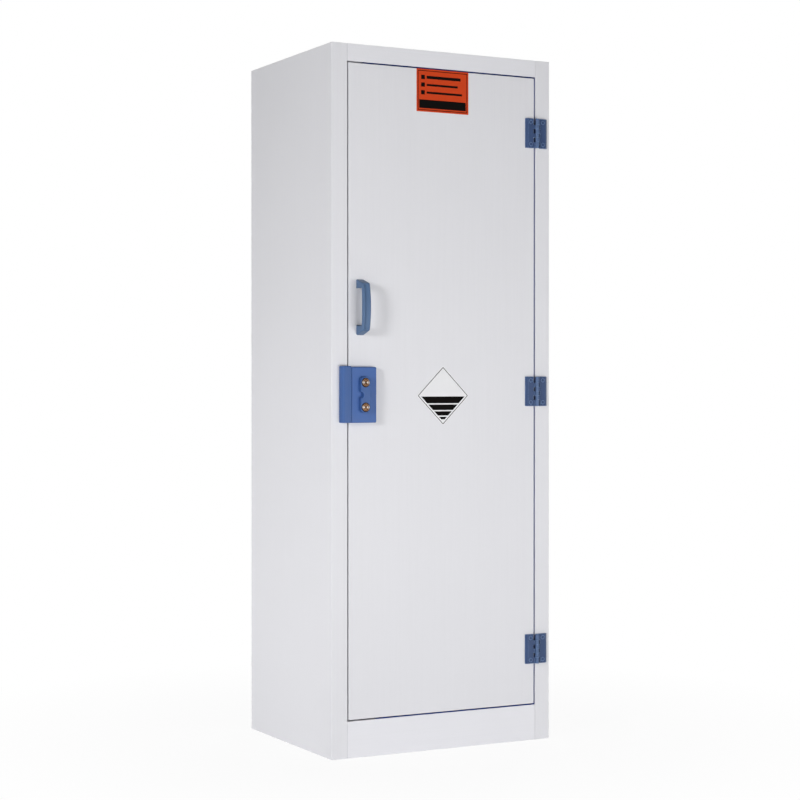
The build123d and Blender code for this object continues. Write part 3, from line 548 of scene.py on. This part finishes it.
def lipShape(low, high, look):
    # a flat strip whose front edge is a half circle as thick as the strip: the closed profile in y and z is
    # carried along x, and waves up and down a little as glued strip does
    foot, front = low.z - look["fullness"], low.y - look["forward"]
    radius = (high.z - foot) / 2
    angle = np.linspace(-math.pi / 2, math.pi / 2, look["lipSteps"])
    profileY = np.concatenate([front + radius - radius * np.cos(angle), [high.y, high.y]])
    profileZ = np.concatenate([foot + radius + radius * np.sin(angle), [high.z, foot]])
    x = np.linspace(low.x - look["reachLeft"], high.x, look["stations"])
    wave = look["wave"] * (np.cos(2 * math.pi * x / look["wavePitch"]) - 1) / 2
    rows, columns = len(x), len(profileY)
    points = np.stack([np.repeat(x[:, None], columns, 1), np.repeat(profileY[None], rows, 0),
                       profileZ[None] + wave[:, None]], -1).reshape(-1, 3)
    start, step = np.meshgrid(np.arange(rows - 1) * columns, np.arange(columns), indexing="ij")
    following = (step + 1) % columns
    walls = np.stack([start + step, start + columns + step, start + columns + following,
                      start + following], -1)
    ends = [list(range(columns)), list(range(rows * columns - 1, (rows - 1) * columns - 1, -1))]
    return points, walls.reshape(-1, 4).tolist() + ends


# the lip wears the darker copy of the seal blue: painted shade
sealLip = makePiece("sealLipTop", lipShape(*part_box("seal_strip_top"), lipLook), shadedLipBlue, "cabinet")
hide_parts("seal_strip_top")
print("stage: sealing strip")


# welds inside the cabinet, seen with the door open

weldLook = {
    "leg": 3.2 * mm,          # how far a bead reaches along each sheet
    "ripplePitch": 7 * mm,    # pauses of the welding rod
    "ripple": 0.35 * mm, "stationsPerPitch": 4, "fewestStations": 8, "segments": 5,
    "bulge": (0.5, 0.2),      # how round the face is at its edges, and how much more in its middle
    "endSpace": 4 * mm,
}


def weldBead(start, end, sideA, sideB, look=weldLook):
    # a bead in an inside corner: its face from one sheet to the other lies between the straight chamfer and
    # the quarter circle, and is carried from start to end, swelling a little at each pause of the rod
    start, end, sideA, sideB = (np.array(v, float) for v in (start, end, sideA, sideB))
    length = np.linalg.norm(end - start)
    along = (end - start) / length
    count = max(int(length / look["ripplePitch"] * look["stationsPerPitch"]), look["fewestStations"])
    stations = np.linspace(look["endSpace"], length - look["endSpace"], count)
    leg = look["leg"] + look["ripple"] * np.sin(2 * math.pi * stations / look["ripplePitch"])
    angle = np.linspace(0, math.pi / 2, look["segments"])
    edgeBulge, middleBulge = look["bulge"]
    bulge = edgeBulge + middleBulge * np.sin(2 * angle)
    reachA = (1 - bulge) * np.cos(angle) ** 2 + bulge * np.cos(angle)
    reachB = (1 - bulge) * np.sin(angle) ** 2 + bulge * np.sin(angle)
    profile = reachA[:, None] * sideA + reachB[:, None] * sideB
    points = start + stations[:, None, None] * along + leg[:, None, None] * profile[None]
    faces = gridFaces(count, look["segments"])
    if np.dot(np.cross(sideA, sideB), along) < 0:    # faces point out of the corner
        faces = faces[:, ::-1]
    return points.reshape(-1, 3), faces


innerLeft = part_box("side_panel_left")[1].x
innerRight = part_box("side_panel_right")[0].x
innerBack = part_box("back_panel")[0].y
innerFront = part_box("sump_floor")[0].y
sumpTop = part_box("sump_floor")[1].z
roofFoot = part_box("top_panel")[0].z
up, down, forwards = (0, 0, 1), (0, 0, -1), (0, -1, 0)
beads = []
for wall, inwards in ((innerLeft, (1, 0, 0)), (innerRight, (-1, 0, 0))):
    backFoot, backHead = (wall, innerBack, sumpTop), (wall, innerBack, roofFoot)
    beads.append(weldBead(backFoot, backHead, inwards, forwards))
    beads.append(weldBead((wall, innerFront, sumpTop), backFoot, inwards, up))
    beads.append(weldBead((wall, innerFront, roofFoot), backHead, inwards, down))
for height, outwards in ((sumpTop, up), (roofFoot, down)):
    backEdge = (innerLeft, innerBack, height), (innerRight, innerBack, height)
    beads.append(weldBead(*backEdge, forwards, outwards))
for name in nodes:
    if name.startswith("tray_ledge"):
        low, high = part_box(name)
        wall, inwards = (innerLeft, (1, 0, 0)) if "left" in name else (innerRight, (-1, 0, 0))
        beads.append(weldBead((wall, low.y, low.z), (wall, high.y, low.z), inwards, down))
makePiece("weldBeads", joinShapes(beads), whiteTray, "cabinet", smooth=True)


# painted shade of the cross recesses in the screw heads that face the inside

recessShadeLook = {
    "colour": "#2a2a2c", "paleColour": "#3a3a3c", "metallic": 0.6, "roughness": 0.5,
    "pitSpan": 0.6 * mm, "pitDetail": 3.0, "pitHeight": 0.02 * mm, "pitStrength": 0.3,
}


def recessShadeSteel(name, look):
    # painted shade of a screw head's punched recess: dark steel, dull and finely pitted
    material, tree, place = newMaterial(name)
    pits = addNode(tree, "ShaderNodeTexNoise", {
        "Vector": place, "Scale": 1 / look["pitSpan"], "Detail": look["pitDetail"]})
    colour = addNode(tree, "ShaderNodeMix", {
        0: pits, 6: hexToLinear(look["colour"]), 7: hexToLinear(look["paleColour"])}, data_type="RGBA")
    pitted = addNode(tree, "ShaderNodeBump", {
        "Height": pits, "Strength": look["pitStrength"], "Distance": look["pitHeight"]})
    surface = addNode(tree, "ShaderNodeBsdfPrincipled", {
        "Base Color": colour, "Metallic": look["metallic"], "Roughness": look["roughness"],
        "Normal": pitted})
    addNode(tree, "ShaderNodeOutputMaterial", {"Surface": surface})
    return material


crossLook = {
    "reach": 2.3 * mm, "width": 0.9 * mm, "depth": 0.08 * mm,
    "headInset": 4.0 * mm,    # from the edge of a group of screws to the middle of a head
}
screwGroups = {               # columns and rows of heads in each node
    "door": {"handle_screws": (1, 2), "lock_housing_screws": (2, 2)},
    "cabinet": {"keeper_screws": (1, 3)},
}


def crossShape(x, z, face):
    # a small dark cross lying on a screw head that faces the back: the painted shade of its recess
    reach, half = crossLook["reach"], crossLook["width"] / 2
    outline = np.array([(half, reach), (-half, reach), (-half, half), (-reach, half), (-reach, -half),
                        (-half, -half), (-half, -reach), (half, -reach), (half, -half), (reach, -half),
                        (reach, half), (half, half)])
    return plateShape(outline + (x, z), face + crossLook["depth"], face)


def headSpots(nodeName, columns, rows):
    # centres of a node's screw heads, spaced evenly over its box
    low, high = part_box(nodeName)
    inset = crossLook["headInset"]
    xs = np.linspace(low.x + inset, high.x - inset, columns) if columns > 1 else [(low.x + high.x) / 2]
    zs = np.linspace(low.z + inset, high.z - inset, rows)
    return [(x, z, high.y) for x in xs for z in zs]


recessShade = recessShadeSteel("screwRecessShade", recessShadeLook)
for body, groups in screwGroups.items():
    crosses = [crossShape(*spot) for group, counts in groups.items() for spot in headSpots(group, *counts)]
    makePiece(f"{body}ScrewRecessShades", joinShapes(crosses), recessShade, body)
print("stage: welds and screw heads")


# studio

studioLook = {
    "floorColour": "#f4f4f4", "floorReach": 14.0, "floorRoughness": 0.9, "floorSpecular": 0.1,
    "whiteShares": (0.93, 1.0), "whiteRadii": (0.5, 1.3),    # share of plain white, going outwards
    "fill": 0.105, "white": (1, 1, 1, 1),
}
lampLooks = {
    "keyLamp": {"place": (-3.64, -1.97, 1.6), "size": (0.75, 0.65), "power": 67.0, "aim": (0, -0.23, 0.9)},
    "lowFrontLamp": {"place": (0.4, -3.4, 0.32), "size": (3.0, 0.5), "power": 60.0, "aim": (0, 0, 0.8)},
    "lowSideLamp": {"place": (-1.9, 0.1, 0.15), "size": (1.2, 0.25), "power": 9.5, "aim": (0, 0, 0.3)},
    "backLamp": {"place": (2.4, 2.8, 1.3), "size": (1.5, 1.5), "power": 55.0, "aim": (0, 0, 0.85)},
    "topLamp": {"place": (0.6, 0.6, 3.6), "size": (2.0, 2.0), "power": 14.0, "aim": (0, 0.2, 0.85)},
}
cameraLook = {
    "place": (-2.208, -4.159, 0.861), "forward": (0.4698, 0.8828, -0.0075), "lens": 85.6, "sensor": 36.0,
}


def seenRays(tree):
    # 1 for what the camera sees straight, in a mirror or through glass
    path = addNode(tree, "ShaderNodeLightPath").outputs
    mirrored = addNode(tree, "ShaderNodeMath", {0: path["Is Camera Ray"], 1: path["Is Glossy Ray"]},
                       operation="MAXIMUM")
    return addNode(tree, "ShaderNodeMath", {0: mirrored, 1: path["Is Transmission Ray"]},
                   operation="MAXIMUM")


def studioAir(look):
    # a weak even fill on the object, and plain white wherever the air itself is seen
    world = bpy.data.worlds.new("studioAir")
    world.use_nodes = True
    tree = world.node_tree
    tree.nodes.clear()
    strength = addNode(tree, "ShaderNodeMix", {0: seenRays(tree), 2: look["fill"], 3: 1.0})
    air = addNode(tree, "ShaderNodeBackground", {"Color": look["white"], "Strength": strength})
    addNode(tree, "ShaderNodeOutputWorld", {"Surface": air})
    return world


def studioPaint(look):
    # matt white paint that keeps a soft shadow near the cabinet and fades into the white air further out
    material, tree, place = newMaterial("paintedStudioFloor")
    radius = addNode(tree, "ShaderNodeVectorMath", {0: place}, operation="LENGTH")
    nearShare, farShare = look["whiteShares"]
    nearRadius, farRadius = look["whiteRadii"]
    share = addNode(tree, "ShaderNodeMapRange", {
        "Value": radius, "From Min": nearRadius, "From Max": farRadius, "To Min": nearShare,
        "To Max": farShare})
    seenShare = addNode(tree, "ShaderNodeMath", {0: seenRays(tree), 1: share}, operation="MULTIPLY")
    paint = addNode(tree, "ShaderNodeBsdfPrincipled", {
        "Base Color": hexToLinear(look["floorColour"]), "Roughness": look["floorRoughness"],
        "Specular IOR Level": look["floorSpecular"]})
    glow = addNode(tree, "ShaderNodeEmission", {"Color": look["white"], "Strength": 1.0})
    mixed = addNode(tree, "ShaderNodeMixShader", {0: seenShare, 1: paint, 2: glow})
    addNode(tree, "ShaderNodeOutputMaterial", {"Surface": mixed})
    return material


def aimed(made, place, direction):
    # puts a lamp or the camera at its place, looking along a direction
    made.location = place
    made.rotation_euler = direction.to_track_quat("-Z", "Y").to_euler()
    bpy.context.scene.collection.objects.link(made)
    return made


bpy.context.scene.world = studioAir(studioLook)
reach = studioLook["floorReach"]
floorCorners = [(-reach, -reach, 0), (reach, -reach, 0), (reach, reach, 0), (-reach, reach, 0)]
studioFloor = newObject("studioFloor", (floorCorners, [(0, 1, 2, 3)]), studioPaint(studioLook))

for name, look in lampLooks.items():
    lamp = bpy.data.lights.new(name, "AREA")
    lamp.shape = "RECTANGLE"
    lamp.size, lamp.size_y = look["size"]
    lamp.energy = look["power"]
    aimed(bpy.data.objects.new(name, lamp), look["place"], Vector(look["aim"]) - Vector(look["place"]))

camera = bpy.data.cameras.new("studioCamera")
camera.lens = cameraLook["lens"]
camera.sensor_width = cameraLook["sensor"]
cameraObject = bpy.data.objects.new("studioCamera", camera)
bpy.context.scene.camera = aimed(cameraObject, cameraLook["place"], Vector(cameraLook["forward"]))
bpy.context.scene.view_settings.view_transform = "Standard"
print("stage: studio")
